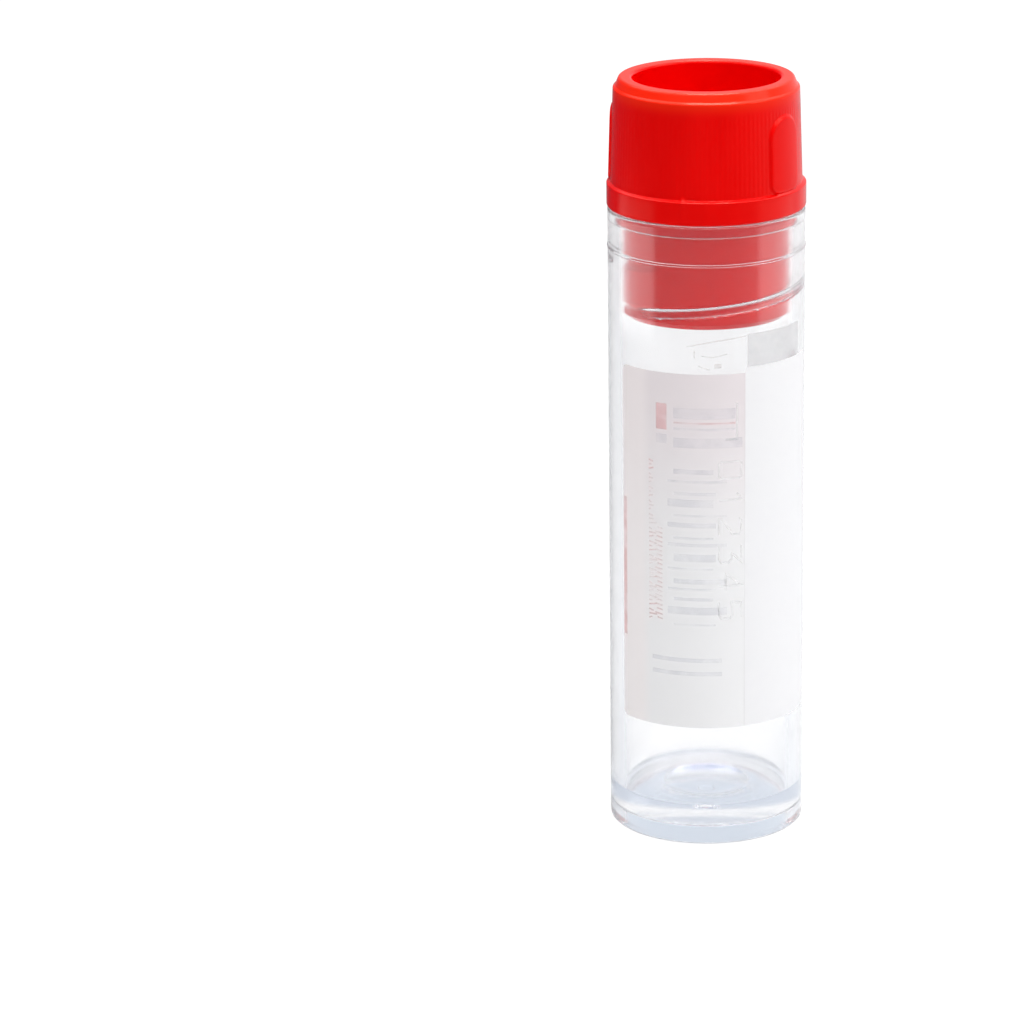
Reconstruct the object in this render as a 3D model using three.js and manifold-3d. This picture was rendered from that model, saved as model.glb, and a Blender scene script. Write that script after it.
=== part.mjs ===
// Cryogenic storage vial with an internal thread, as it comes apart on a bench:
//   tube       clear polypropylene, one moulding: foot ring, floor, wall and threaded neck
//   seal_ring  silicone washer that the cap presses onto a seat inside the tube's mouth
//   cap        red polypropylene, one moulding: grip, flange and the threaded hollow plug
// Millimetres, +Z up. The origin is the centre of the circle that the foot ring stands on,
// and -Y is the front of the vial.
import * as THREE from 'three';
import { mergeVertices } from 'three/addons/utils/BufferGeometryUtils.js';
import Module from 'manifold-3d';

// Tube: overall
const TUBE_DIAMETER = 12.5;
const TUBE_HEIGHT = 40.8;
const RIM_CHAMFER = 0.15;

// Tube: foot and floor
const FOOT_RING_WIDTH = 0.95; // from the outer wall to the recess under the floor
const FOOT_ROUND = 0.35;
const FOOT_INNER_CHAMFER = 0.1;
const BASE_RECESS_DEPTH = 1.1;
const FLOOR_THICKNESS = 0.85; // at the centre, under the dimple
const DIMPLE_RADIUS = 2.7;
const DIMPLE_DEPTH = 0.35;
const FLOOR_FALL = 0.25; // from the corner down to the dimple's edge
const CHAMBER_CORNER = 1.0; // fillet between wall and floor

// Tube: bore and mouth
const TUBE_WALL = 0.85; // at the thread
const BORE_DRAFT = 0.15; // how much the bore closes in from the thread to the floor
const NECK_RELIEF = 0.1; // the neck above the thread is this much wider in radius
const NECK_LEDGE = 0.1; // height of the slope between neck and thread
const NECK_LENGTH = 1.7; // from the seal's seat to the ledge
const SEAT_DEPTH = 0.8; // from the rim to the seal's seat
const MOUTH_WALL = 0.45; // wall beside the seal

// Thread: a round bead in the tube, a round groove in the plug, one right-hand start
const THREAD_PITCH = 3.0;
const BEAD_RADIUS = 0.38;
const BEAD_SUNK = 0.1; // the bead's centre line lies this far inside the wall
const BEAD_BELOW_LEDGE = 3.6; // from the ledge down to the bead's lower end
const BEAD_START = -150; // degrees around the axis from +X
const BEAD_TURNS = 0.95;
const RUN_OUT_TURNS = 0.08; // over this much of a turn an end fades out
const THREAD_CLEARANCE = 0.13;

// Seal
const SEAL_SIDE_CLEARANCE = 0.08; // to the mouth's wall
const SEAL_PLUG_CLEARANCE = 0.05;
const SEAL_CHAMFER = 0.12;

// Cap: plug
const PLUG_CLEARANCE = 0.15; // to the tube's threaded bore
const PLUG_LENGTH = 6.9; // below the flange
const PLUG_CHAMFER = 0.35;
const PLUG_WALL = 1.15; // round the hollow, measured from the plug's outside
const HOLLOW_DRAFT = 0.1;
const WEB_THICKNESS = 1.2; // between the hollow below and the recess above

// Cap: flange, grip and lip
const FLANGE_GAP = 0.1; // left between flange and rim, because the seal carries the cap
const FLANGE_OVERHANG = 0.05; // outside the tube
const FLANGE_HEIGHT = 1.55;
const FLANGE_CHAMFER = 0.12;
const FLANGE_SLOPE = 0.4; // height of the slope from flange to grip
const GRIP_HEIGHT = 5.65;
const GRIP_SETBACK = 0.24; // grip's foot, inside the flange
const GRIP_TAPER = 0.19; // grip's foot to its top
const SHOULDER_ROUND = 0.12;
const LIP_SETBACK = 0.37; // lip, inside the grip's top
const LIP_HEIGHT = 0.6;
const LIP_ROUND = 0.2;
const LIP_WIDTH = 0.85;
const RECESS_DEPTH = 5.0;
const RECESS_DRAFT = 0.1;
const RECESS_CORNER = 0.5;

// Cap: smooth pads with arched tops between the ribs of the grip
const PAD_COUNT = 3;
const PAD_WIDTH = 2.4;
const PAD_PROUD = 0.2;
const PAD_BOTTOM = 0.25; // above the flange's slope
const PAD_TOP = 1.35; // below the grip's top
const FIRST_PAD = 53.5; // degrees from the front towards +X

// Facets
const SEGMENTS = 60;
const ARC_DIVISIONS = 3;
const BEAD_STEPS_PER_TURN = 40;
const BEAD_DIVISIONS = 5;

// Worked out from the sizes above
const tubeRadius = TUBE_DIAMETER / 2;
const boreRadius = tubeRadius - TUBE_WALL;
const neckRadius = boreRadius + NECK_RELIEF;
const mouthRadius = tubeRadius - MOUTH_WALL;
const seatZ = TUBE_HEIGHT - SEAT_DEPTH;
const ledgeZ = seatZ - NECK_LENGTH;
const beadBottomZ = ledgeZ - BEAD_BELOW_LEDGE;
const beadCentreRadius = boreRadius + BEAD_SUNK;
const plugRadius = boreRadius - PLUG_CLEARANCE;
const flangeRadius = tubeRadius + FLANGE_OVERHANG;
const flangeZ = TUBE_HEIGHT + FLANGE_GAP;
const plugBottomZ = flangeZ - PLUG_LENGTH;
const gripBottomZ = flangeZ + FLANGE_HEIGHT + FLANGE_SLOPE;
const gripTopZ = gripBottomZ + GRIP_HEIGHT;
const gripBottomRadius = flangeRadius - GRIP_SETBACK;
const gripTopRadius = gripBottomRadius - GRIP_TAPER;
const lipRadius = gripTopRadius - LIP_SETBACK;
const lipTopZ = gripTopZ + LIP_HEIGHT;
const mouthOfRecess = lipRadius - LIP_WIDTH;
const recessFloorZ = lipTopZ - RECESS_DEPTH;

const wasm = await Module();
wasm.setup();

// A closed three.js geometry as a manifold solid.
function toSolid(geometry) {
  const bare = geometry.index ? geometry.toNonIndexed() : geometry.clone();
  bare.deleteAttribute('normal');
  bare.deleteAttribute('uv');
  const merged = mergeVertices(bare, 1e-5);
  const corners = merged.index.array;
  const kept = [];
  for (let i = 0; i < corners.length; i += 3) {
    const [a, b, c] = [corners[i], corners[i + 1], corners[i + 2]];
    if (a !== b && b !== c && c !== a) kept.push(a, b, c);
  }
  return new wasm.Manifold(new wasm.Mesh({
    numProp: 3,
    vertProperties: new Float32Array(merged.attributes.position.array),
    triVerts: new Uint32Array(kept),
  }));
}

// A manifold solid as a three.js geometry.
function toGeometry(solid) {
  const { vertProperties, triVerts } = solid.getMesh();
  const geometry = new THREE.BufferGeometry();
  geometry.setAttribute('position', new THREE.BufferAttribute(new Float32Array(vertProperties), 3));
  geometry.setIndex(new THREE.BufferAttribute(new Uint32Array(triVerts), 1));
  geometry.computeVertexNormals();
  return geometry;
}

// A turned solid. The outline's x is the radius and its y the height; it runs counterclockwise.
function turned(outline) {
  const points = outline.getPoints(ARC_DIVISIONS);
  return toSolid(new THREE.LatheGeometry(points, SEGMENTS).rotateX(Math.PI / 2));
}

// The centre line of the thread. Its ends can move outward, which buries a bead in the wall.
class ThreadPath extends THREE.Curve {
  constructor(startTurn, endTurn, fadeStart, fadeEnd) {
    super();
    Object.assign(this, { startTurn, endTurn, fadeStart, fadeEnd });
  }

  getPoint(t, target = new THREE.Vector3()) {
    const turn = THREE.MathUtils.lerp(this.startTurn, this.endTurn, t);
    const toStart = (turn - this.startTurn) / RUN_OUT_TURNS;
    const toEnd = (this.endTurn - turn) / RUN_OUT_TURNS;
    const fade = Math.max(this.fadeStart ? 1 - toStart : 0, this.fadeEnd ? 1 - toEnd : 0, 0);
    const radius = beadCentreRadius + fade * (BEAD_RADIUS - BEAD_SUNK);
    const angle = THREE.MathUtils.degToRad(BEAD_START) + turn * 2 * Math.PI;
    const height = beadBottomZ + turn * THREAD_PITCH;
    return target.set(radius * Math.cos(angle), radius * Math.sin(angle), height);
  }
}

// A round bar along the thread's centre line. Turn 0 is the lower end of the tube's bead.
function threadBar(radius, path) {
  const circle = new THREE.Shape().absarc(0, 0, radius, 0, 2 * Math.PI, false);
  const steps = Math.ceil((path.endTurn - path.startTurn) * BEAD_STEPS_PER_TURN);
  return toSolid(new THREE.ExtrudeGeometry(circle, {
    extrudePath: path,
    steps,
    curveSegments: BEAD_DIVISIONS,
  }));
}

function tubeSolid() {
  const recessRadius = tubeRadius - FOOT_RING_WIDTH;
  const floorRadius = boreRadius - BORE_DRAFT;
  const dimpleZ = BASE_RECESS_DEPTH + FLOOR_THICKNESS;
  const dimpleEdgeZ = dimpleZ + DIMPLE_DEPTH;
  const floorZ = dimpleEdgeZ + FLOOR_FALL;
  const dimpleArc = (DIMPLE_RADIUS ** 2 + DIMPLE_DEPTH ** 2) / (2 * DIMPLE_DEPTH);
  const dimpleAngle = Math.asin(DIMPLE_RADIUS / dimpleArc);

  const outline = new THREE.Path();
  outline.moveTo(0, BASE_RECESS_DEPTH);
  outline.lineTo(recessRadius, BASE_RECESS_DEPTH);
  outline.lineTo(recessRadius, FOOT_INNER_CHAMFER);
  outline.lineTo(recessRadius + FOOT_INNER_CHAMFER, 0);
  outline.absarc(tubeRadius - FOOT_ROUND, FOOT_ROUND, FOOT_ROUND, -Math.PI / 2, 0, false);
  outline.lineTo(tubeRadius, TUBE_HEIGHT - RIM_CHAMFER);
  outline.lineTo(tubeRadius - RIM_CHAMFER, TUBE_HEIGHT);
  outline.lineTo(mouthRadius, TUBE_HEIGHT);
  outline.lineTo(mouthRadius, seatZ);
  outline.lineTo(neckRadius, seatZ);
  outline.lineTo(neckRadius, ledgeZ + NECK_LEDGE);
  outline.lineTo(boreRadius, ledgeZ);
  outline.lineTo(boreRadius, plugBottomZ);
  const cornerZ = floorZ + CHAMBER_CORNER;
  outline.absarc(floorRadius - CHAMBER_CORNER, cornerZ, CHAMBER_CORNER, 0, -Math.PI / 2, true);
  outline.lineTo(DIMPLE_RADIUS, dimpleEdgeZ);
  const dimpleStart = -Math.PI / 2 + dimpleAngle;
  outline.absarc(0, dimpleZ + dimpleArc, dimpleArc, dimpleStart, -Math.PI / 2, true);

  const bead = threadBar(BEAD_RADIUS, new ThreadPath(0, BEAD_TURNS, true, true));
  return turned(outline).add(bead);
}

function sealSolid() {
  const inner = plugRadius + SEAL_PLUG_CLEARANCE;
  const outer = mouthRadius - SEAL_SIDE_CLEARANCE;
  const outline = new THREE.Path();
  outline.moveTo(inner, seatZ);
  outline.lineTo(outer - SEAL_CHAMFER, seatZ);
  outline.lineTo(outer, seatZ + SEAL_CHAMFER);
  outline.lineTo(outer, flangeZ - SEAL_CHAMFER);
  outline.lineTo(outer - SEAL_CHAMFER, flangeZ);
  outline.lineTo(inner, flangeZ);
  outline.lineTo(inner, seatZ);
  return turned(outline);
}

// One pad: a stretch of the grip's own taper, lifted outward and cut to an arched outline.
function padSolid(azimuth) {
  const bottomZ = gripBottomZ + PAD_BOTTOM;
  const topZ = gripTopZ - PAD_TOP;
  const gripRadiusAt = (z) => gripBottomRadius - GRIP_TAPER * (z - gripBottomZ) / GRIP_HEIGHT;

  const band = new THREE.Path();
  band.moveTo(gripTopRadius - PAD_PROUD, bottomZ);
  band.lineTo(gripRadiusAt(bottomZ) + PAD_PROUD, bottomZ);
  band.lineTo(gripRadiusAt(topZ) + PAD_PROUD, topZ);
  band.lineTo(gripTopRadius - PAD_PROUD, topZ);
  band.lineTo(gripTopRadius - PAD_PROUD, bottomZ);

  const half = PAD_WIDTH / 2;
  const arch = new THREE.Shape();
  arch.moveTo(-half, bottomZ - PAD_PROUD);
  arch.lineTo(half, bottomZ - PAD_PROUD);
  arch.absarc(0, topZ - half, half, 0, Math.PI, false);
  const cutter = new THREE.ExtrudeGeometry(arch, {
    depth: 2 * flangeRadius,
    bevelEnabled: false,
    curveSegments: 2 * ARC_DIVISIONS,
  });
  cutter.rotateX(Math.PI / 2).rotateZ(THREE.MathUtils.degToRad(azimuth));
  return turned(band).intersect(toSolid(cutter));
}

function capSolid() {
  const hollowRadius = plugRadius - PLUG_WALL;
  const hollowTopZ = recessFloorZ - WEB_THICKNESS;
  const recessRadius = mouthOfRecess - RECESS_DRAFT;

  const outline = new THREE.Path();
  outline.moveTo(0, hollowTopZ);
  outline.lineTo(hollowRadius - HOLLOW_DRAFT, hollowTopZ);
  outline.lineTo(hollowRadius, plugBottomZ);
  outline.lineTo(plugRadius - PLUG_CHAMFER, plugBottomZ);
  outline.lineTo(plugRadius, plugBottomZ + PLUG_CHAMFER);
  outline.lineTo(plugRadius, flangeZ);
  outline.lineTo(flangeRadius - FLANGE_CHAMFER, flangeZ);
  outline.lineTo(flangeRadius, flangeZ + FLANGE_CHAMFER);
  outline.lineTo(flangeRadius, flangeZ + FLANGE_HEIGHT);
  outline.lineTo(gripBottomRadius, gripBottomZ);
  outline.lineTo(gripTopRadius, gripTopZ - SHOULDER_ROUND);
  outline.lineTo(gripTopRadius - SHOULDER_ROUND, gripTopZ);
  outline.lineTo(lipRadius, gripTopZ);
  outline.absarc(lipRadius - LIP_ROUND, lipTopZ - LIP_ROUND, LIP_ROUND, 0, Math.PI / 2, false);
  outline.absarc(
    mouthOfRecess + LIP_ROUND, lipTopZ - LIP_ROUND, LIP_ROUND, Math.PI / 2, Math.PI, false);
  outline.absarc(
    recessRadius - RECESS_CORNER, recessFloorZ + RECESS_CORNER, RECESS_CORNER, 0, -Math.PI / 2, true);
  outline.lineTo(0, recessFloorZ);

  // The groove is open at the plug's lower end and goes on past the bead's upper end.
  const firstTurn = (plugBottomZ - beadBottomZ) / THREAD_PITCH - 0.5;
  const lastTurn = BEAD_TURNS + 2 * RUN_OUT_TURNS;
  const groovePath = new ThreadPath(firstTurn, lastTurn, false, true);
  const groove = threadBar(BEAD_RADIUS + THREAD_CLEARANCE, groovePath);

  let solid = turned(outline).subtract(groove);
  for (let i = 0; i < PAD_COUNT; i += 1) {
    solid = solid.add(padSolid(FIRST_PAD + (360 / PAD_COUNT) * i));
  }
  return solid;
}

const finishes = {
  tube: { color: 0xeef0f2, roughness: 0.12, metalness: 0, transparent: true, opacity: 0.4 },
  seal_ring: { color: 0xe4e3df, roughness: 0.55, metalness: 0 },
  cap: { color: 0xdc100c, roughness: 0.42, metalness: 0 },
};

function piece(name, solid) {
  const mesh = new THREE.Mesh(toGeometry(solid), new THREE.MeshStandardMaterial(finishes[name]));
  mesh.name = name;
  return mesh;
}

const vial = new THREE.Group();
vial.add(piece('tube', tubeSolid()));
vial.add(piece('seal_ring', sealSolid()));
vial.add(piece('cap', capSolid()));

export default vial;
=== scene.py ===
# %% [markdown]
# # A screw-cap cryovial
#
# The real vial is a clear polypropylene tube, 12.5 mm across, with a thread inside its mouth. A red cap
# with a hollow plug screws into it and presses a silicone ring onto a seat near the rim. A white writing
# field and a thin grey label are printed round the tube. This lesson loads the measured model, makes a
# finer mesh for each of its pieces, wraps the print round the tube, and gives each a finish of nodes.

# %% Load the measured model
import math

import bmesh
import bpy
import numpy as np
from mathutils import Matrix, Vector


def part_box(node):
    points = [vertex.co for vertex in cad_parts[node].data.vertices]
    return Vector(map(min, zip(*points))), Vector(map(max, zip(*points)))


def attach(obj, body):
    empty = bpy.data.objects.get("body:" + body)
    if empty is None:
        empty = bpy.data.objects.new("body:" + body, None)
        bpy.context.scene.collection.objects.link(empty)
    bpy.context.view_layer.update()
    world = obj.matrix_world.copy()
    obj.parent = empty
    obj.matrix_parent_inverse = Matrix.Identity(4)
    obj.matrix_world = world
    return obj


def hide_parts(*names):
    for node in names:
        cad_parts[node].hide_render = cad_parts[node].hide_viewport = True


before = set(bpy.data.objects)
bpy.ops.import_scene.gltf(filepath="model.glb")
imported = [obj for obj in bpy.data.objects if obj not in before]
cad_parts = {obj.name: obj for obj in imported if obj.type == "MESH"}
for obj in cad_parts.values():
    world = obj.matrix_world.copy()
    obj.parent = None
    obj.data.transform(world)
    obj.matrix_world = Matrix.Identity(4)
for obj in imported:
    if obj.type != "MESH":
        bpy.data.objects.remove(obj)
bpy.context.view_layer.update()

MM = 0.001
tube_low, tube_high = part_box("tube")
seal_low, seal_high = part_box("seal_ring")
cap_low, cap_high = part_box("cap")
print("tube stands", round(tube_high.z / MM, 2), "mm, cap reaches", round(cap_high.z / MM, 2), "mm")

# %% [markdown]
# ## Turned outlines
#
# Tube, ring and cap are all round, so each starts as an outline that is swung about the axis. Blender's
# Spin or Screw could do that, but the thread and the ribs need each point of the mesh moved by its own
# amount. So the outline becomes a grid of rows and columns in an array, and one function may change the
# radius of every point before the faces are made. A corner of an outline is its radius, its height, how
# much it is rounded, and how closely rows follow until the next corner, all in millimetres. Each straight
# run also gets a row close to both its ends: such holding rows keep its smooth shading truly flat, which
# clear plastic needs, because light bends by the shading.

# %% Outlines
ARC_STEPS = 3
HOLD = 0.04


def arc(corner, before, after, rounding):
    """The points of an arc that rounds a corner."""
    back, ahead = (before - corner).normalized(), (after - corner).normalized()
    half = back.angle(ahead) / 2
    centre = corner + (back + ahead).normalized() * rounding / math.sin(half)
    start = corner + back * rounding / math.tan(half) - centre
    end = corner + ahead * rounding / math.tan(half) - centre
    shares = [step / ARC_STEPS for step in range(ARC_STEPS + 1)]
    return [centre + start.slerp(end, share).normalized() * rounding for share in shares]


def outline(corners, closed=False):
    """Rows of (radius, height) in millimetres, from corners of (radius, height, rounding, spacing)."""
    full = [tuple(corner) + (0,) * (4 - len(corner)) for corner in corners]
    points = [Vector(corner[:2]) for corner in full]
    bends = []
    for i, (_, _, rounding, _) in enumerate(full):
        after = points[(i + 1) % len(points)]
        inner = closed or 0 < i < len(points) - 1
        bends.append(arc(points[i], points[i - 1], after, rounding) if rounding and inner else [points[i]])
    rows = []
    for i, bend in enumerate(bends):
        rows += bend
        if i + 1 < len(bends) or closed:
            rows += straight(bend[-1], bends[(i + 1) % len(bends)][0], full[i][3])
    return rows


def straight(start, end, spacing):
    """Rows between two points: one near each end where there is room, and others at even spacing."""
    length = (end - start).length
    if length < 4 * HOLD:
        return []
    steps = round(length / spacing) if spacing else 1
    shares = [HOLD / length, *(step / steps for step in range(1, steps)), 1 - HOLD / length]
    return [start.lerp(end, share) for share in sorted(shares)]


rounded = outline([(1, 0, 0.2), (2, 0, 0.2), (2, 1, 0.2), (1, 1, 0.2)], closed=True)
print("a square with rounded corners takes", len(rounded), "rows")

# %% New pieces and turning
def new_piece(name, places, faces):
    """A mesh object with its faces turned outwards."""
    mesh = bpy.data.meshes.new(name)
    mesh.from_pydata(places, [], faces)
    whole = bmesh.new()
    whole.from_mesh(mesh)
    bmesh.ops.recalc_face_normals(whole, faces=whole.faces)
    whole.to_mesh(mesh)
    whole.free()
    piece = bpy.data.objects.new(name, mesh)
    bpy.context.scene.collection.objects.link(piece)
    print(name, len(mesh.polygons), "faces")
    return piece


def turned(name, rows, segments, relief=None, closed=False):
    """Turns rows about the axis. relief gives a new radius from radius, height and azimuth."""
    azimuth = np.arange(segments) * 2 * math.pi / segments
    radius = np.array([row[0] for row in rows])[:, None] * np.ones(segments)
    height = np.array([row[1] for row in rows])[:, None] * np.ones(segments)
    if relief:
        radius = relief(radius, height, np.broadcast_to(azimuth, radius.shape))
    places, rings = [], []
    for row in range(len(rows)):
        count = 1 if rows[row][0] == 0 else segments
        rings.append([len(places) + i % count for i in range(segments)])
        across, forward = radius[row] * np.sin(azimuth), -radius[row] * np.cos(azimuth)
        places += [(across[i] * MM, forward[i] * MM, height[row, i] * MM) for i in range(count)]
    faces = []
    for one, two in zip(rings, rings[1:] + rings[:1] if closed else rings[1:]):
        for i in range(segments):
            j = (i + 1) % segments
            faces.append(tuple(dict.fromkeys((one[i], one[j], two[j], two[i]))))
    piece = new_piece(name, places, faces)
    piece.data.shade_smooth()
    piece.data.set_sharp_from_angle(angle=math.radians(50))
    return piece


# %% [markdown]
# ## The thread
#
# The tube has a round bead inside its mouth that climbs 3 mm a turn, and the plug has a round groove that
# runs on it. Both are the same shape, a bar wound round the axis: the bead is where the bar stands out of
# the bore, and the groove is where a slightly thicker bar cuts the plug. At its ends the bar sinks into
# the wall over a short run-out, and the bead's foot blends into the bore. A helical sweep and a boolean
# would give hard seams, so the bar's surface is worked out for each point of the grid instead.

# %% Thread
THREAD_PITCH = 3.0
BEAD_RADIUS = 0.34
BEAD_CENTRE = 5.5
BEAD_CLEARANCE = 0.13
BEAD_TURNS = 0.95
RUN_OUT = 0.08
RUN_OUT_RISE = 0.28
BEAD_START = math.radians(-60)
BEAD_LOW = 34.7
BEAD_FOOT = 0.15


def eased(value, low, high):
    """0 below low, 1 above high, and a smooth step between."""
    share = np.clip((value - low) / (high - low), 0, 1)
    return share * share * (3 - 2 * share)


def wound_bar(height, azimuth, bar, first, last):
    """The radius at which a wound bar faces the axis, or infinity where the bar isn't."""
    nearest = np.full(height.shape, np.inf)
    for whole_turns in range(-1, 3):
        turns = (azimuth - BEAD_START) / (2 * math.pi) + whole_turns
        ends = eased(np.minimum(turns - first, last - turns), 0, RUN_OUT)
        above = height - BEAD_LOW - THREAD_PITCH * turns
        inside = (turns > first) & (turns < last) & (np.abs(above) < bar)
        face = BEAD_CENTRE + RUN_OUT_RISE * (1 - ends) - np.sqrt(np.maximum(bar * bar - above * above, 0))
        nearest = np.where(inside, np.minimum(nearest, face), nearest)
    return nearest


print("the bead climbs from", BEAD_LOW, "to", round(BEAD_LOW + THREAD_PITCH * BEAD_TURNS, 2), "mm")

# %% [markdown]
# ## The tube
#
# The tube is one moulding: a foot ring, a floor with a dimple, a wall, a ledge and a seat for the ring.
# Light bends in every one of those surfaces, so a shell with a thickness modifier wouldn't look right. The
# outline runs from the middle of the underside, up the outside and down the inside to the dimple. A low
# boss stands in the middle of the underside, and a fine parting line runs round the outside at the ledge.

# %% Tube
TUBE_RADIUS = tube_high.x / MM
RIM = tube_high.z / MM
SEAT = seal_low.z / MM
MOUTH_RADIUS, NECK_RADIUS, BORE_RADIUS = 5.8, 5.5, 5.4
LEDGE = 38.3
PARTING_PROUD = 0.035
FLOOR_RADIUS = 5.25
THREAD_LOW, THREAD_HIGH = 34.0, 38.12
DIMPLE_RADIUS, DIMPLE_LOW, DIMPLE_HIGH, FLOOR_HIGH = 2.7, 1.95, 2.3, 2.55
DIMPLE_ROWS = 12


def dimple():
    """Rows of the dished middle of the floor, from its edge to the axis."""
    lip = [
        (DIMPLE_RADIUS + 0.3, DIMPLE_HIGH),
        (DIMPLE_RADIUS + 0.18, DIMPLE_HIGH + 0.05),
        (DIMPLE_RADIUS + 0.08, DIMPLE_HIGH + 0.05),
    ]
    shares = [1 - step / DIMPLE_ROWS for step in range(DIMPLE_ROWS + 1)]
    return lip + [(DIMPLE_RADIUS * s, DIMPLE_LOW + (DIMPLE_HIGH - DIMPLE_LOW) * s**4) for s in shares]


def tube_relief(radius, height, azimuth):
    """The bead stands out of the bore."""
    in_bore = (radius < BORE_RADIUS + 0.01) & (height > THREAD_LOW - 0.01) & (height < LEDGE)
    bead = wound_bar(height, azimuth, BEAD_RADIUS, 0, BEAD_TURNS)
    near = np.maximum(1 - np.abs(radius - bead) / BEAD_FOOT, 0)
    return np.where(in_bore, np.minimum(radius, bead) - near * near * BEAD_FOOT / 4, radius)


tube_rows = outline(
    [
        (0, 0.98),
        (0.5, 0.98, 0.05),
        (0.56, 1.1, 0.05),
        (5.3, 1.1, 0.12),
        (5.3, 0.1, 0.03),
        (5.4, 0, 0.03),
        (TUBE_RADIUS, 0, 0.35),
        (TUBE_RADIUS, LEDGE - 0.07),
        (TUBE_RADIUS + PARTING_PROUD, LEDGE - 0.02),
        (TUBE_RADIUS + PARTING_PROUD, LEDGE + 0.02),
        (TUBE_RADIUS, LEDGE + 0.07),
        (TUBE_RADIUS, RIM, 0.15),
        (MOUTH_RADIUS, RIM, 0.08),
        (MOUTH_RADIUS, SEAT, 0.05),
        (NECK_RADIUS, SEAT, 0.05),
        (NECK_RADIUS, LEDGE, 0.05),
        (BORE_RADIUS, LEDGE - 0.1, 0.05),
        (BORE_RADIUS, THREAD_HIGH, 0, 0.06),
        (BORE_RADIUS, THREAD_LOW),
        (FLOOR_RADIUS, FLOOR_HIGH, 0.6),
    ]
) + dimple()
tube = turned("clear_tube", tube_rows, 240, tube_relief)

# %% [markdown]
# ## The seal ring
#
# A flat silicone washer lies on the seat inside the mouth, and the cap presses it down. Only its edge
# shows, through the tube's wall. Its outline is a rounded rectangle that closes on itself, drawn a
# hundredth of a millimetre clear of what touches it, because two surfaces in one place render as noise.

# %% Seal ring
SEAL_OUTER = seal_high.x / MM
SEAL_INNER = 5.3
SEAL_ROUND = 0.12
HAIR = 0.01

seal_bottom, seal_top = seal_low.z / MM + HAIR, seal_high.z / MM - HAIR
seal_rows = outline(
    [
        (SEAL_INNER, seal_bottom, SEAL_ROUND),
        (SEAL_OUTER, seal_bottom, SEAL_ROUND),
        (SEAL_OUTER, seal_top, SEAL_ROUND),
        (SEAL_INNER, seal_top, SEAL_ROUND),
    ],
    closed=True,
)
seal = turned("silicone_seal", seal_rows, 180, closed=True)

# %% [markdown]
# ## The cap
#
# The cap is one red moulding: a plug that is hollow from below, a flange, a slightly tapered grip with
# fine upright ribs, and a lip round a deep recess. Three smooth pads with arched tops break the ribs. The
# ribs could be an array of boxes, but then each would be a loose part: here they are a wave in the
# radius of the grip, and a pad is an area where the wave stops and the surface stands a little higher.
# The pads are not evenly spaced: the widest gap between two of them lies across the front.

# %% Cap
FLANGE_RADIUS = cap_high.x / MM
FLANGE_LOW = seal_high.z / MM
PLUG_LOW = cap_low.z / MM
LIP_TOP = cap_high.z / MM
PLUG_RADIUS, HOLLOW_RADIUS, HOLLOW_TOP = 5.25, 4.1, 42.9
CREST, GRIP_LOW, GRIP_HIGH = 42.35, 42.47, 48.5
GRIP_FOOT_RADIUS, GRIP_TOP_RADIUS = 6.06, 5.87
LIP_RADIUS, RECESS_RADIUS, RECESS_FLOOR = 5.5, 4.65, 44.1
RIB_COUNT, RIB_DEPTH = 120, 0.017
PAD_AZIMUTHS = [math.radians(azimuth) for azimuth in (55, 157, 259)]
PAD_HALF_WIDTH, PAD_PROUD, PAD_EDGE = 1.45, 0.14, 0.1
PAD_LOW, PAD_HIGH, PAD_CORNER = 42.45, 47.24, 0.7
NUB_AZIMUTH, NUB_HEIGHT, NUB_SIZE, NUB_PROUD = math.radians(-14), 42.45, 0.13, 0.09


def grip_radius(height):
    """The grip's taper."""
    share = (height - GRIP_LOW) / (GRIP_HIGH - GRIP_LOW)
    return GRIP_FOOT_RADIUS + share * (GRIP_TOP_RADIUS - GRIP_FOOT_RADIUS)


def on_pad(height, azimuth):
    """1 on the smooth pads, 0 elsewhere, with a soft edge."""
    shown = np.zeros(height.shape)
    arch = PAD_HIGH - PAD_HALF_WIDTH
    for centre in PAD_AZIMUTHS:
        turn = (azimuth - centre + math.pi) % (2 * math.pi) - math.pi
        across = np.abs(turn) * GRIP_FOOT_RADIUS
        outside = np.hypot(across, np.maximum(height - arch, 0)) - PAD_HALF_WIDTH
        in_corner = np.maximum(across - PAD_HALF_WIDTH + PAD_CORNER, 0)
        below = np.hypot(in_corner, np.maximum(PAD_LOW + PAD_CORNER - height, 0)) - PAD_CORNER
        shown = np.maximum(shown, eased(-np.maximum(outside, below), -PAD_EDGE, PAD_EDGE))
    return shown


def cap_relief(radius, height, azimuth):
    """Ribs and pads on the grip, the nub on the flange's slope, and the groove in the plug."""
    outside = radius > LIP_RADIUS + 0.1
    pad = on_pad(height, azimuth)
    ends = eased(height, GRIP_LOW, GRIP_LOW + 0.1) * (1 - eased(height, GRIP_HIGH - 1.1, GRIP_HIGH - 0.6))
    ribs = RIB_DEPTH * (np.cos(RIB_COUNT * azimuth) / 2 - 0.5) * ends * (1 - pad)
    nub_turn = (azimuth - NUB_AZIMUTH + math.pi) % (2 * math.pi) - math.pi
    nub_away = np.hypot(nub_turn * FLANGE_RADIUS, height - NUB_HEIGHT)
    nub = NUB_PROUD * (1 - eased(nub_away, 0, 2 * NUB_SIZE))
    shaped = radius + np.where(outside, ribs + PAD_PROUD * pad + nub, 0)
    groove = wound_bar(height, azimuth, BEAD_RADIUS + BEAD_CLEARANCE, -0.75, BEAD_TURNS + 2 * RUN_OUT)
    in_plug = (np.abs(radius - PLUG_RADIUS) < 0.01) & (height < LEDGE + 0.6)
    return np.where(in_plug, np.minimum(shaped, groove), shaped)


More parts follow.
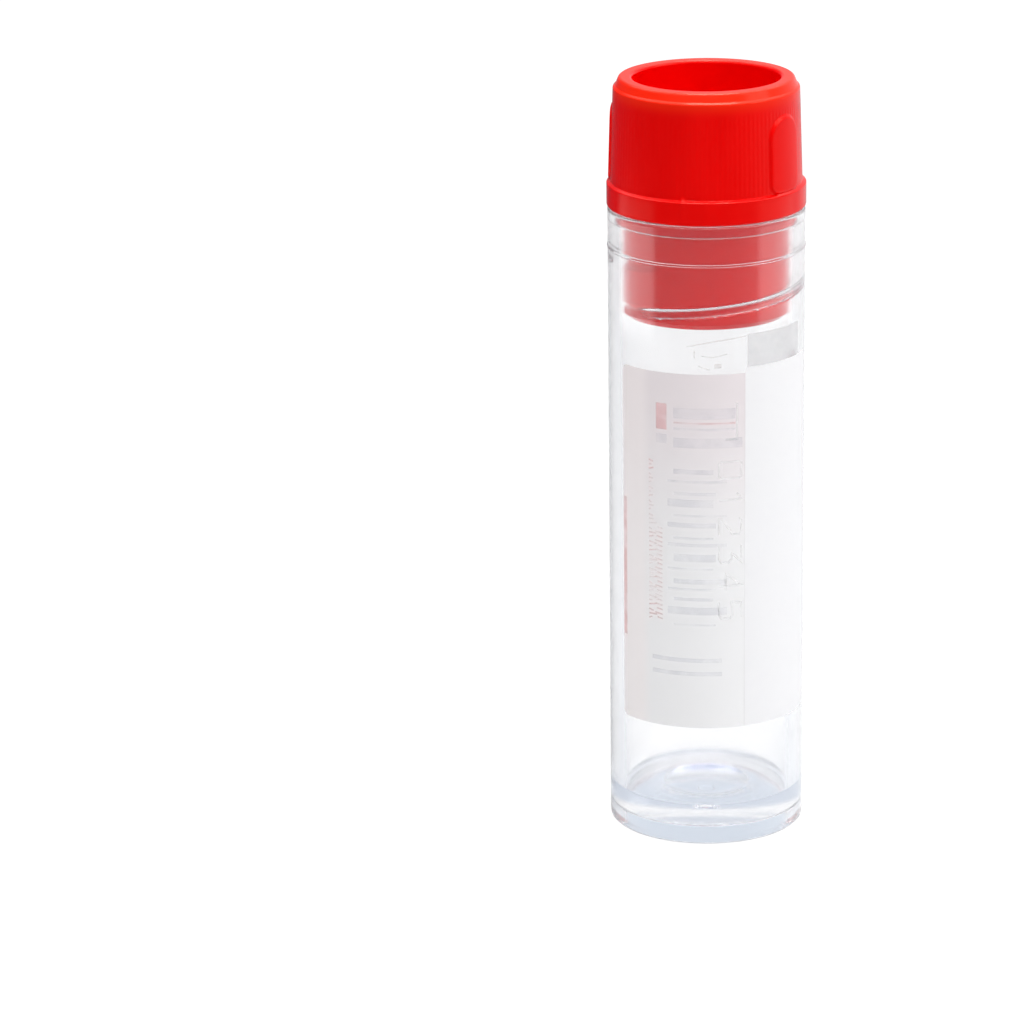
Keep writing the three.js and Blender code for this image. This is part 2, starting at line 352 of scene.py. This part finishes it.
cap_rows = outline(
    [
        (0, HOLLOW_TOP),
        (HOLLOW_RADIUS - 0.1, HOLLOW_TOP, 0.3),
        (HOLLOW_RADIUS, PLUG_LOW, 0.1),
        (PLUG_RADIUS - 0.35, PLUG_LOW, 0.08),
        (PLUG_RADIUS, PLUG_LOW + 0.35),
        (PLUG_RADIUS, PLUG_LOW + 0.4, 0, 0.1),
        (PLUG_RADIUS, LEDGE + 0.4),
        (PLUG_RADIUS, FLANGE_LOW, 0.1),
        (FLANGE_RADIUS, FLANGE_LOW, 0.12),
        (FLANGE_RADIUS, CREST, 0.06),
        (GRIP_FOOT_RADIUS + 0.06, GRIP_LOW - 0.03),
        (GRIP_FOOT_RADIUS, GRIP_LOW, 0, 0.06),
        (grip_radius(PAD_LOW + PAD_CORNER), PAD_LOW + PAD_CORNER, 0, 0.6),
        (grip_radius(PAD_HIGH - PAD_HALF_WIDTH), PAD_HIGH - PAD_HALF_WIDTH, 0, 0.075),
        (grip_radius(PAD_HIGH + 0.15), PAD_HIGH + 0.15, 0, 0.12),
        (grip_radius(GRIP_HIGH - 0.5), GRIP_HIGH - 0.5),
        (GRIP_TOP_RADIUS, GRIP_HIGH - 0.05, 0.14),
        (LIP_RADIUS + 0.22, GRIP_HIGH + 0.07, 0.08),
        (LIP_RADIUS, LIP_TOP, 0.2),
        (RECESS_RADIUS, LIP_TOP, 0.2),
        (RECESS_RADIUS - 0.1, RECESS_FLOOR, 0.5),
        (0, RECESS_FLOOR),
    ]
)
cap = turned("red_cap", cap_rows, RIB_COUNT * 4, cap_relief)

# %% [markdown]
# ## Print on the tube
#
# Printed ink is a skin a few hundredths of a millimetre thick that follows the tube's curve. A picture
# texture could carry it, but then it would have no shape of its own. Each mark is a strip: pairs of edge
# points, across and up, that are bent round the tube and closed with a front, a back and rims. A patch
# is a strip of upright pairs with rounded corners, and a ribbon is a line of even width.

# %% Strips of ink
INK_THICKNESS = 0.008
LAYER = 0.012
COLUMN = 0.16
CORNER_STEPS = 5


def patch(left, right, low, high, left_corner=0.0, right_corner=0.0):
    """The edge pairs of a rectangle: left and right are measured round the tube from its front."""
    start, end = left + left_corner, right - right_corner
    steps = max(1, math.ceil((end - start) / COLUMN))
    columns = [(start + (end - start) * step / steps, 0) for step in range(steps + 1)]
    turns = [math.pi / 2 * step / CORNER_STEPS for step in range(CORNER_STEPS)]
    bends = [(1 - math.cos(turn), 1 - math.sin(turn)) for turn in turns]
    if left_corner:
        columns = [(left + left_corner * x, left_corner * cut) for x, cut in bends] + columns
    if right_corner:
        columns += [(right - right_corner * x, right_corner * cut) for x, cut in bends[::-1]]
    return [((x, low + cut), (x, high - cut)) for x, cut in columns]


def ribbon(points, width, closed=False):
    """The edge pairs of a line of even width through points."""
    line = [Vector(point) for point in points + points[:1]] if closed else [Vector(p) for p in points]
    fine = []
    for start, end in zip(line, line[1:]):
        steps = math.ceil((end - start).length / COLUMN)
        fine += [start.lerp(end, step / steps) for step in range(steps)]
    fine += line[-1:]
    pairs = []
    for i, here in enumerate(fine):
        before = here - fine[i - 1] if i else (here - fine[-2] if closed else fine[1] - here)
        after = fine[i + 1] - here if i + 1 < len(fine) else (fine[1] - here if closed else before)
        one, two = before.normalized(), after.normalized()
        side = Vector((-one.y - two.y, one.x + two.x)) / (1 + one.dot(two)) * width / 2
        pairs.append((here - side, here + side))
    return pairs


def skin(name, strips, layer=0):
    """Bends strips round the tube as closed skins, one piece in all."""
    places, faces = [], []
    for strip in strips:
        first = len(places)
        for edges in strip:
            for lift in (HAIR + layer * LAYER, HAIR + layer * LAYER + INK_THICKNESS):
                radius = TUBE_RADIUS + lift
                for across, height in edges:
                    turn = across / TUBE_RADIUS
                    places.append((radius * math.sin(turn) * MM, -radius * math.cos(turn) * MM, height * MM))
        last = len(places) - 4
        for a in range(first, last, 4):
            faces += [(a + i, a + j, a + 4 + j, a + 4 + i) for i, j in ((0, 1), (1, 3), (3, 2), (2, 0))]
        faces += [(first, first + 2, first + 3, first + 1), (last, last + 1, last + 3, last + 2)]
    piece = new_piece(name, places, faces)
    piece.data.shade_smooth()
    piece.data.set_sharp_from_angle(angle=math.radians(50))
    return piece


# %% [markdown]
# ## The two printed fields
#
# Over the front lies a thin grey label field that a little light comes through. A white writing field
# covers the right side from there, as a printer lays it: over the edge of the grey one by a hair, so that
# no gap shows. A faint grey band lies above it. All three are single patches, two of them with
# rounded outer corners. The back of the tube is left clear.

# %% Printed fields
FIELD_LOW, FIELD_HIGH, FIELD_RIGHT = 8.0, 31.75, 8.6
LABEL_LOW, LABEL_HIGH = 8.0, 31.4
LABEL_LEFT, LABEL_RIGHT = -6.2, 2.55
BAND_HIGH, BAND_RIGHT = 33.9, 7.35
FIELD_CORNER = 0.4
OVERLAP = 0.05

writing_area = patch(LABEL_RIGHT - OVERLAP, FIELD_RIGHT, FIELD_LOW, FIELD_HIGH, right_corner=FIELD_CORNER)
label_area = patch(LABEL_LEFT, LABEL_RIGHT, LABEL_LOW, LABEL_HIGH, left_corner=FIELD_CORNER)
# a faint grey band above the white field
grey_band_area = patch(LABEL_RIGHT + 2 * OVERLAP, BAND_RIGHT, FIELD_HIGH - 2 * OVERLAP, BAND_HIGH)
white_field = skin("writing_field", [writing_area], layer=1)
grey_band = skin("grey_band", [grey_band_area])
grey_field = skin("label_field", [label_area])

# %% [markdown]
# ## Marks on the label
#
# The label carries faint marks: blue-grey bars of uneven width that run round the tube, a column of pale
# numerals read sideways, a red rule, and a column of small red ticks. They are plain stand-ins that say
# nothing. Bars are patches, and numerals are ribbons along a few strokes. The bars' heights follow a
# small repeating rule of widths and gaps, so no list of measured bars is needed.

# %% Bars
BAR_LEFT, BAR_RIGHT = -2.1, 1.85
BOX_LEFT, BOX_RIGHT = -3.3, -2.55
BAR_COUNT = 15
BAR_HEIGHTS = (0.32, 0.14, 0.2, 0.5, 0.12)
BAR_ENDS = (0.45, 1.3, 0.6)
BAR_GAPS = (0.42, 0.62, 0.28, 0.5)

bars = [
    patch(BAR_LEFT, BAR_RIGHT, 28.5, 29.2),
    patch(BAR_LEFT, BAR_RIGHT, 27.75, 27.9),
    patch(BAR_LEFT, 2.3, 26.6, 27.25),
    patch(BOX_LEFT, BOX_RIGHT, 26.8, 27.4),
]
bar_top = 25.2
for bar in range(BAR_COUNT):
    bar_height = BAR_HEIGHTS[bar % len(BAR_HEIGHTS)]
    bar_end = BAR_ENDS[bar % len(BAR_ENDS)]
    bars.append(patch(BAR_LEFT - 0.4 * (bar % 2), bar_end, bar_top - bar_height, bar_top))
    bar_top -= bar_height + BAR_GAPS[bar % len(BAR_GAPS)]
bars += [patch(-3.6, 1.0, low, low + 0.28) for low in (12.4, 11.5)]
dark_bars = skin("dark_bars", bars, layer=1)
print("the column of bars ends at", round(bar_top, 2), "mm")

# %% Numerals
NUMERALS = {
    0: [[(0.1, 0), (0.9, 0), (1, 0.2), (1, 1.8), (0.9, 2), (0.1, 2), (0, 1.8), (0, 0.2)]],
    1: [[(0.2, 1.6), (0.6, 2), (0.6, 0)]],
    2: [[(0, 1.8), (0.2, 2), (0.8, 2), (1, 1.8), (1, 1.2), (0, 0.2), (0, 0), (1, 0)]],
    3: [[(0, 2), (1, 2), (0.45, 1.15), (0.8, 1.1), (1, 0.8), (1, 0.2), (0.8, 0), (0, 0)]],
    4: [[(1, 0.6), (0, 0.6), (0.7, 2), (0.7, 0)]],
    5: [[(1, 2), (0.1, 2), (0, 1.1), (0.8, 1.2), (1, 1), (1, 0.2), (0.8, 0), (0, 0)]],
}
NUMERAL_TALL = 1.45
NUMERAL_WIDE = 0.75 * NUMERAL_TALL
NUMERAL_LEFT, NUMERAL_TOP = 0.8, 25.7
NUMERAL_STEP = 1.85
NUMERAL_LINE = 0.13

strokes = [ribbon([(1.2, 27.15), (1.95, 27.15), (1.95, 29.5)], 0.14)]
for numeral, lines in NUMERALS.items():
    top = NUMERAL_TOP - NUMERAL_STEP * numeral
    for line in lines:
        # the numerals lie on their side: their height runs round the tube
        spots = [(NUMERAL_LEFT + v / 2 * NUMERAL_TALL, top - u * NUMERAL_WIDE) for u, v in line]
        strokes.append(ribbon(spots, NUMERAL_LINE, closed=numeral == 0))
pale_numerals = skin("pale_numerals", strokes, layer=1)

# %% Red marks
TICK_COUNT, TICK_STEP = 36, 0.3
TICK_LEFT, TICK_TOP = -3.85, 25.6
TICK_REACHES = (0.55, 0.35, 0.6, 0.25)
SHORT_TICKS, SINGLE_TICKS = 13, 15

ticks = [
    patch(BOX_LEFT, BOX_RIGHT, 27.7, 29.4),
    ribbon([(BAR_LEFT, 28.22), (BAR_RIGHT, 28.22)], 0.1),
    ribbon([(-6.0, 13.5), (-6.0, 22.7)], 0.32),
]
for tick in range(TICK_COUNT):
    height = TICK_TOP - TICK_STEP * tick
    reach = TICK_REACHES[tick % len(TICK_REACHES)] * (0.6 if tick < SHORT_TICKS else 1)
    ticks.append(ribbon([(TICK_LEFT, height), (TICK_LEFT + reach, height + 0.1 * (tick % 3 - 1))], 0.1))
    if tick >= SINGLE_TICKS:
        ticks.append(ribbon([(-3.1 - reach / 2, height + 0.14), (-2.85, height + 0.05)], 0.09))
red_marks = skin("red_marks", ticks, layer=1)

# %% Fill mark above the label
fill_strips = [
    ribbon([(-1.25, 33.2), (0.6, 33.55), (2.6, 33.78)], 0.08),
    ribbon([(-0.75, 32.95), (-0.75, 32.45)], 0.09),
    ribbon([(-0.3, 32.6), (0.35, 32.5), (1.3, 32.7)], 0.07),
    patch(0.5, 0.95, 31.8, 32.1),
    ribbon([(-0.5, 31.95), (0.2, 31.7)], 0.08),
]
fill_mark = skin("fill_mark", fill_strips)

# %% [markdown]
# ## Finishes as expressions
#
# A finish is a tree of nodes, and a tree written out node by node is hard to read. A socket is wrapped in
# a small class whose operators add Math nodes, so that a mask reads as a sum. Every other node comes from
# one method, which sets its settings first and then its sockets, by value or by link.

# %% Sockets with operators
class Value:
    """An output of a node, which Python's operators work on."""

    def __init__(self, finish, socket):
        self.finish, self.socket = finish, socket

    def out(self, name):
        """Another output of the same node."""
        return Value(self.finish, self.socket.node.outputs[name])

    def maths(self, operation, *values):
        """A Math node that works on values."""
        return self.finish.node("ShaderNodeMath", {"operation": operation}, dict(enumerate(values)))

    def __add__(self, other):
        return self.maths("ADD", self, other)

    __radd__ = __add__

    def __mul__(self, other):
        return self.maths("MULTIPLY", self, other)

    __rmul__ = __mul__

    def __sub__(self, other):
        return self.maths("SUBTRACT", self, other)

    def __rsub__(self, other):
        return self.maths("SUBTRACT", other, self)

    def __gt__(self, other):
        return self.maths("GREATER_THAN", self, other)


# %% Trees of nodes
class Finish:
    """The node tree of a material or a world."""

    def __init__(self, owner):
        owner.use_nodes = True
        self.owner, self.tree = owner, owner.node_tree
        self.tree.nodes.clear()

    def node(self, kind, settings=None, sockets=None, output=0):
        """Adds a node: its settings first, then the values or links of its sockets."""
        made = self.tree.nodes.new(kind)
        for name, value in (settings or {}).items():
            setattr(made, name, value)
        for name, value in (sockets or {}).items():
            if isinstance(value, Value):
                self.tree.links.new(value.socket, made.inputs[name])
            else:
                made.inputs[name].default_value = value
        return Value(self, made.outputs[output])

    def place(self):
        """Where a point lies on the object, in metres."""
        return self.node("ShaderNodeTexCoord", output="Object")

    def parts(self, spot):
        """The X of a place or a direction. Its Y and Z are other outputs of the same node."""
        return self.node("ShaderNodeSeparateXYZ", None, {0: spot})

    def level(self, spot):
        """A place or a direction without its height."""
        return self.node("ShaderNodeVectorMath", {"operation": "MULTIPLY"}, {0: spot, 1: (1, 1, 0)})

    def from_axis(self, spot):
        """How far a place lies from the vial's axis, in metres."""
        sockets = {0: self.level(spot)}
        return self.node("ShaderNodeVectorMath", {"operation": "LENGTH"}, sockets, output="Value")

    def noise(self, scale, detail=3, stretch=(1, 1, 1)):
        """Soft noise from 0 to 1. scale is in marks a metre."""
        where = self.node("ShaderNodeVectorMath", {"operation": "MULTIPLY"}, {0: self.place(), 1: stretch})
        return self.node("ShaderNodeTexNoise", None, {"Vector": where, "Scale": scale, "Detail": detail})

    def mix(self, share, one, two):
        """One colour, then the other, as share goes from 0 to 1."""
        return self.node("ShaderNodeMix", {"data_type": "RGBA"}, {0: share, 6: one, 7: two}, output=2)

    def step(self, value, low, high):
        """A smooth step from 0 at low to 1 at high."""
        sockets = {"Value": value, "From Min": low, "From Max": high}
        return self.node("ShaderNodeMapRange", {"interpolation_type": "SMOOTHSTEP"}, sockets)

    def bump(self, height, depth):
        """Small relief, depth in metres."""
        return self.node("ShaderNodeBump", None, {"Height": height, "Distance": depth})

    def passing(self, shader, tint):
        """The shader, but soft light from lamps and matt surfaces goes straight through it."""
        aside = self.node("ShaderNodeBsdfTransparent", None, {"Color": tint})
        paths = self.node("ShaderNodeLightPath")
        soft_light = paths.out("Is Shadow Ray") + paths.out("Is Diffuse Ray") > 0.5
        return self.node("ShaderNodeMixShader", None, {0: soft_light, 1: shader, 2: aside})

    def end(self, shader):
        """Makes shader what the surface or the world shows."""
        kind = "Material" if isinstance(self.owner, bpy.types.Material) else "World"
        end = self.tree.nodes.new("ShaderNodeOutput" + kind)
        self.tree.links.new(shader.socket, end.inputs["Surface"])
        return self.owner


# %% Colours and slots
def shade(red, green, blue):
    """A colour as a shader takes it, from the shares a screen shows."""
    shares = [((c + 0.055) / 1.055) ** 2.4 if c > 0.04 else c / 12.92 for c in (red, green, blue)]
    return (*shares, 1)


def wear(piece, material):
    """Gives a piece its finish."""
    piece.data.materials.clear()
    piece.data.materials.append(material)
    print(piece.name, "wears", material.name)


# %% [markdown]
# ## Clear polypropylene
#
# The tube is moulded clear plastic, so its shader is nearly all transmission, with the refraction of
# polypropylene. Real mouldings are never perfect glass: flow lines ripple the surface a few thousandths of
# a millimetre, the inside and the thread's bead are duller than the outside, the plastic looks a little
# greyer higher up, and haze veils what lies behind, which a sheen gives. Lamps would lose their light in
# bent rays and leave noise, so for soft light the tube stands aside and lets it through.

# %% Clear tube finish
def clear_plastic():
    """The tube's finish."""
    finish = Finish(bpy.data.materials.new("clear_polypropylene"))
    flow = finish.noise(260, 2, stretch=(1, 1, 0.12))
    haze = finish.noise(900, 4)
    radius = finish.from_axis(finish.place())
    up = finish.parts(finish.place()).out("Z")
    inside = finish.step(radius, (TUBE_RADIUS - 0.3) * MM, (TUBE_RADIUS - 0.65) * MM)
    bead = finish.step(radius, (BORE_RADIUS - 0.06) * MM, (BORE_RADIUS - 0.15) * MM) * (up > THREAD_LOW * MM)
    satin = inside + 1.5 * bead
    low = finish.step(up, 6 * MM, 2.8 * MM)
    high = finish.step(up + 8 * MM * haze, 14 * MM, 36 * MM)
    sockets = {
        "Base Color": finish.mix(high, shade(0.997, 0.997, 0.998), shade(0.975, 0.975, 0.977)),
        "Roughness": 0.03 + 0.03 * finish.step(haze, 0.4, 0.75) + satin * (0.12 - 0.05 * low),
        "IOR": 1.49,
        "Sheen Weight": 0.5,
        "Sheen Roughness": 0.25,
        "Transmission Weight": 0.99,
        "Normal": finish.bump(flow, 0.004 * MM),
    }
    solid = finish.node("ShaderNodeBsdfPrincipled", None, sockets)
    return finish.end(finish.passing(solid, shade(0.98, 0.98, 0.985)))


wear(tube, clear_plastic())


# %% [markdown]
# ## Silicone
#
# The ring is natural silicone. The red plug and flange behind and above it colour the light that comes
# through it, so its own colour is set to a soft red. It is pressed against plastic on most sides, so light
# hardly bends on its way in: its refraction is set low. About a quarter of the light scatters at its satin,
# slightly cloudy surface, and the rest goes through.

# %% Silicone finish
def silicone():
    """The seal ring's finish."""
    finish = Finish(bpy.data.materials.new("natural_silicone"))
    cloud = finish.noise(1200, 3)
    sockets = {
        "Base Color": finish.mix(cloud, shade(0.98, 0.12, 0.14), shade(0.98, 0.22, 0.23)),
        "Roughness": 0.08 + 0.1 * cloud,
        "IOR": 1.15,
        "Transmission Weight": 0.72,
        "Normal": finish.bump(cloud, 0.01 * MM),
    }
    solid = finish.node("ShaderNodeBsdfPrincipled", None, sockets)
    return finish.end(finish.passing(solid, shade(0.93, 0.93, 0.93)))


wear(seal, silicone())


# %% [markdown]
# ## Red polypropylene
#
# The cap's red is strong but not even: pigment drifts in slow streaks as the plastic fills the mould, and
# the mould's fine grain dulls the surface a little. Streaks are a stretched noise between two reds. Both
# noises drive the roughness, and the grain a bump too. Round the lip and the top of the grip an orange
# painted highlight is mixed into the colour: a mask by height and by distance from the axis picks it out.

# %% Cap finish
def red_plastic():
    """The cap's finish."""
    finish = Finish(bpy.data.materials.new("red_polypropylene"))
    streaks = finish.noise(320, 3, stretch=(1, 1, 0.3))
    grain = finish.noise(6500, 2)
    body = finish.mix(finish.step(streaks, 0.3, 0.7), shade(0.88, 0.003, 0.006), shade(0.91, 0.008, 0.01))
    up = finish.parts(finish.place()).out("Z")
    # lip: the mask of a painted highlight, an orange painted into the colour round the lip and the grip's
    # top
    lip = finish.step(finish.from_axis(finish.place()), RECESS_RADIUS * MM, (RECESS_RADIUS + 0.3) * MM)
    lip = lip * finish.step(up, (GRIP_HIGH - 0.9) * MM, (GRIP_HIGH + 0.1) * MM)
    sockets = {
        "Base Color": finish.mix(lip, body, shade(0.93, 0.145, 0.05)),
        "Roughness": 0.11 + 0.06 * streaks + 0.03 * grain,
        "Specular IOR Level": 0.19,
        "Specular Tint": (1, 0.65, 0.5, 1),
        "Normal": finish.bump(grain, 0.003 * MM),
    }
    return finish.end(finish.node("ShaderNodeBsdfPrincipled", None, sockets))


wear(cap, red_plastic())


# %% [markdown]
# ## Inks
#
# Screen-printed ink dries matt, and its thickness varies, so its colour and gloss are mottled. The white
# field hides what is behind it, but some light shines through, so a translucent shader is mixed in. The
# label field is thinner: it has a constant alpha, and its tint drifts from mauve near the top to a cooler
# grey lower down, with a slightly warmer band along its left edge. The marks on it share one recipe, a
# faint ink that is worn thin in patches by a second, coarser noise.

# %% Ink finishes
def ink(name, light, dark, alpha, patchy=0.6):
    """A matt ink between two shades. patchy is how much of it is gone where it is worn."""
    finish = Finish(bpy.data.materials.new(name))
    mottle = finish.noise(1500, 4)
    worn = 1 - patchy * (1 - finish.step(finish.noise(700, 3), 0.35, 0.6))
    sockets = {
        "Base Color": finish.mix(mottle, light, dark),
        "Roughness": 0.55 + 0.2 * mottle,
        "Specular IOR Level": 0.25,
        "Alpha": alpha * worn,
        "Normal": finish.bump(mottle, 0.004 * MM),
    }
    return finish.end(finish.node("ShaderNodeBsdfPrincipled", None, sockets))


def field_ink():
    """The writing field's ink: white and a little translucent."""
    finish = Finish(bpy.data.materials.new("white_ink"))
    mottle = finish.noise(1500, 4)
    sockets = {
        "Base Color": finish.mix(mottle, shade(0.985, 0.985, 0.99), shade(0.97, 0.97, 0.98)),
        "Roughness": 0.55 + 0.2 * mottle,
        "Specular IOR Level": 0.25,
        "Normal": finish.bump(mottle, 0.004 * MM),
    }
    solid = finish.node("ShaderNodeBsdfPrincipled", None, sockets)
    lit_behind = finish.node("ShaderNodeBsdfTranslucent", None, {"Color": shade(0.98, 0.98, 0.98)})
    return finish.end(finish.node("ShaderNodeMixShader", None, {0: 0.15, 1: solid, 2: lit_behind}))


def label_ink():
    """The label field's ink: mauve above, cool grey below, and a warm band at the left."""
    finish = Finish(bpy.data.materials.new("label_ink"))
    mottle = finish.noise(1500, 4)
    across = finish.parts(finish.place())
    lower = finish.step(across.out("Z") + 1.6 * MM * mottle, 31.5 * MM, 19 * MM)
    warm = 1 - finish.step(across, -4.2 * MM, -3.4 * MM)
    tint = finish.mix(lower, shade(0.93, 0.9, 0.91), shade(0.96, 0.96, 0.965))
    tint = finish.mix(warm * 0.6, tint, shade(0.985, 0.955, 0.955))
    sockets = {
        "Base Color": tint,
        "Roughness": 0.5 + 0.2 * mottle,
        "Specular IOR Level": 0.25,
        "Alpha": 0.9,
        "Normal": finish.bump(mottle, 0.003 * MM),
    }
    return finish.end(finish.node("ShaderNodeBsdfPrincipled", None, sockets))


grey_band_ink = ink("grey_band_ink", shade(0.86, 0.86, 0.86), shade(0.84, 0.84, 0.85), 0.38, patchy=0.12)
bar_ink = ink("bar_ink", shade(0.76, 0.77, 0.82), shade(0.82, 0.82, 0.86), 0.09)
mark_ink = ink("mark_ink", shade(0.75, 0.7, 0.68), shade(0.8, 0.76, 0.75), 0.2)
pale_ink = ink("pale_ink", shade(0.98, 0.97, 0.97), shade(0.95, 0.95, 0.96), 0.25)
red_ink = ink("red_ink", shade(0.95, 0.6, 0.6), shade(0.93, 0.66, 0.66), 0.17)
wear(white_field, field_ink())
wear(grey_band, grey_band_ink)
wear(grey_field, label_ink())
wear(dark_bars, bar_ink)
wear(fill_mark, mark_ink)
wear(pale_numerals, pale_ink)
wear(red_marks, red_ink)

# %% [markdown]
# ## What moves with what
#
# The print is on the tube, so it rides the tube's body. The seal stays on the plug and only lifts, and the
# cap turns as it lifts. Each fine mesh stands for the plain solid of the measured model.

# %% Bodies
for piece in (tube, white_field, grey_band, grey_field, dark_bars, pale_numerals, red_marks, fill_mark):
    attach(piece, "tube")
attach(seal, "seal")
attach(cap, "cap")
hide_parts("tube")
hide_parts("seal_ring")
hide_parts("cap")

# %% [markdown]
# ## Floor and surroundings
#
# The vial stands on a pale sheet that runs out of view. The sheet is white to the camera, and keeps a soft
# shadow, because a part of it is ordinary matt paper lit by the lamps. It throws less light back than
# white paper, so that the vial isn't lit too flatly from below.
#
# Clear plastic shows only what is round it, so the surroundings matter more than the lamps. Card and
# lamps could be modelled, but a tone by direction is simpler. Two kinds of ray are told apart. A ray that
# went through the plastic finds white behind the vial and a cool pale tone in front. A ray that a surface
# has mirrored finds a room that is dark in front and at the left, and bright at the right. A white card
# lies at a set distance on either side, which the neck of the tube mirrors, and the ceiling is bright for
# the lip. Under the vial a blue-grey painted shadow lies on the sheet, seen by rays that come through the
# foot.

# %% Floor
FLOOR_HALF = 1.5
FLOOR_GAP = 0.02 * MM
EMISSIVE_SHARE = 0.85
BOUNCE = 0.62
WHITE = (1, 1, 1, 1)
CARD = (2.3, 2.3, 2.3, 1)
CEILING = (4.5, 4.5, 4.5, 1)


def mirrored(paths):
    """1 for a ray that a surface has mirrored, 0 for one that only went through clear plastic."""
    return paths.out("Is Glossy Ray") > paths.out("Is Transmission Ray")


def brightness(finish, way, paths):
    """The tone of the surroundings at a place or in a direction, by the kind of ray that looks."""
    level = finish.node("ShaderNodeVectorMath", {"operation": "NORMALIZE"}, {0: finish.level(way)})
    right = finish.parts(level)
    back = right.out("Y")
    up = finish.parts(way).out("Z")
    away = finish.from_axis(way)
    bent = finish.mix(finish.step(back, 0.3, 1.1), shade(0.905, 0.92, 0.945), WHITE)
    lit = finish.step(right + 0.5 * back, -0.2, 1.3)
    gloss = finish.mix(lit, shade(0.27, 0.29, 0.34), shade(0.94, 0.95, 0.96))
    card = finish.step(away, 0.124, 0.136) * finish.step(away, 0.183, 0.173)
    gloss = finish.mix(finish.step(right * right, 0.7, 0.87) * card, gloss, CARD)
    gloss = finish.mix(finish.step(up, 0.4, 0.9), gloss, CEILING)
    return finish.mix(mirrored(paths), bent, gloss)


def sheet_finish():
    """Matt paper, mixed with the tones that the plastic needs to see."""
    finish = Finish(bpy.data.materials.new("white_sheet"))
    paths = finish.node("ShaderNodeLightPath")
    seen = paths.out("Is Camera Ray") + paths.out("Is Transmission Ray") > 0.5
    pale = finish.mix(seen, (BOUNCE, BOUNCE, BOUNCE, 1), shade(0.98, 0.98, 0.98))
    paper = finish.node("ShaderNodeBsdfDiffuse", None, {"Color": pale})
    plain = paths.out("Is Camera Ray") + paths.out("Diffuse Depth") > 0.5
    glow = finish.mix(plain, brightness(finish, finish.place(), paths), WHITE)
    # painted shadow: a blue-grey shade on the sheet beneath the vial, for rays that come through the foot
    painted_shadow_under = finish.step(finish.from_axis(finish.place()), 6.4 * MM, 4.8 * MM)
    glow = finish.mix(painted_shadow_under * paths.out("Is Transmission Ray"), glow, shade(0.84, 0.88, 0.93))
    glow = finish.node("ShaderNodeEmission", None, {"Color": glow, "Strength": 1.0})
    glow_share = EMISSIVE_SHARE * seen + mirrored(paths)
    return finish.end(finish.node("ShaderNodeMixShader", None, {0: glow_share, 1: paper, 2: glow}))


signs = [(-1, -1), (1, -1), (1, 1), (-1, 1)]
corners = [(x * FLOOR_HALF, y * FLOOR_HALF, -FLOOR_GAP) for x, y in signs]
floor = new_piece("floor", corners, [(0, 1, 2, 3)])
floor.data.materials.append(sheet_finish())

# %% [markdown]
# ## World
#
# The world takes over where the sheet ends, with the same tones. To matt surfaces it is an even grey light
# from all sides, and to the camera it is white. Rays that the foot mirrors inside itself leave upwards and
# find a cool sky, which gives the base its bluish look.

# %% World
AMBIENT = 0.54


def surroundings():
    """Lights the scene from all round, by the kind of ray that looks."""
    world = bpy.data.worlds.new("surroundings")
    bpy.context.scene.world = world
    finish = Finish(world)
    paths = finish.node("ShaderNodeLightPath")
    scattered = paths.out("Is Diffuse Ray") + paths.out("Diffuse Depth") > 0.5
    way = finish.node("ShaderNodeTexCoord", output="Generated")
    tone = brightness(finish, way, paths)
    up = finish.parts(way).out("Z")
    sky = finish.mix(finish.step(up, 0.7, 0.95), shade(0.84, 0.87, 0.92), shade(0.5, 0.6, 0.8))
    tone = finish.mix(finish.step(up, 0.1, 0.25) * paths.out("Is Transmission Ray"), tone, sky)
    tone = finish.mix(scattered, tone, (AMBIENT, AMBIENT, AMBIENT, 1))
    tone = finish.mix(paths.out("Is Camera Ray"), tone, WHITE)
    finish.end(finish.node("ShaderNodeBackground", None, {"Color": tone, "Strength": 1.0}))


surroundings()

# %% [markdown]
# ## Lamps and camera
#
# Two soft lamps are enough, because the surroundings light the vial too: a weak one at the right, a little
# in front, and a stronger one straight above for the lip and the soft shadow. The camera looks down on the
# vial a little from the front with a long lens, and is turned so that the vial is right of the middle.

# %% Lamps
def lamp(name, place, aim, size, watts):
    """A square soft lamp at place that faces aim."""
    data = bpy.data.lights.new(name, "AREA")
    data.shape, data.size, data.energy = "SQUARE", size, watts
    light = bpy.data.objects.new(name, data)
    light.location = place
    light.rotation_euler = (Vector(aim) - Vector(place)).to_track_quat("-Z", "Y").to_euler()
    bpy.context.scene.collection.objects.link(light)
    print(name, "lamp of", watts, "watts")


MIDDLE = (0, 0, 0.025)
lamp("key", (0.55, -0.18, 0.35), MIDDLE, 0.35, 1.0)
lamp("top", (0.03, 0.0, 0.66), MIDDLE, 0.36, 6.0)

# %% Camera
CAMERA_BACK, CAMERA_UP = 0.2906, 0.1103
LOOK_DOWN = math.radians(17.17)
LOOK_LEFT = math.radians(2.355)
LENS, SENSOR = 166.07, 36


def camera():
    """Places the camera and makes it the scene's own."""
    data = bpy.data.cameras.new("camera")
    data.lens, data.sensor_width = LENS, SENSOR
    data.clip_start = 0.01
    eye = bpy.data.objects.new("camera", data)
    tilt = Matrix.Rotation(math.pi / 2 - LOOK_DOWN, 4, "X") @ Matrix.Rotation(LOOK_LEFT, 4, "Y")
    eye.matrix_world = Matrix.Translation((0, -CAMERA_BACK, CAMERA_UP)) @ tilt
    bpy.context.scene.collection.objects.link(eye)
    bpy.context.scene.camera = eye
    print("camera with a lens of", LENS, "mm, looking down", round(math.degrees(LOOK_DOWN), 1), "degrees")


camera()
bpy.context.scene.view_settings.view_transform = "Standard"

# %% [markdown]
# ## Light that stays inside
#
# In a clear rim or foot a ray is mirrored many times before it gets out. Blender stops it after four, and
# what it would have shown turns black, as dark lines that real plastic doesn't have. Twelve are enough
# here, and cost almost no time, because few rays need them.

# %% Bounces
bounces = bpy.context.scene.cycles
bounces.max_bounces, bounces.glossy_bounces, bounces.transmission_bounces = 16, 12, 16
print("light may be mirrored", bounces.glossy_bounces, "times")
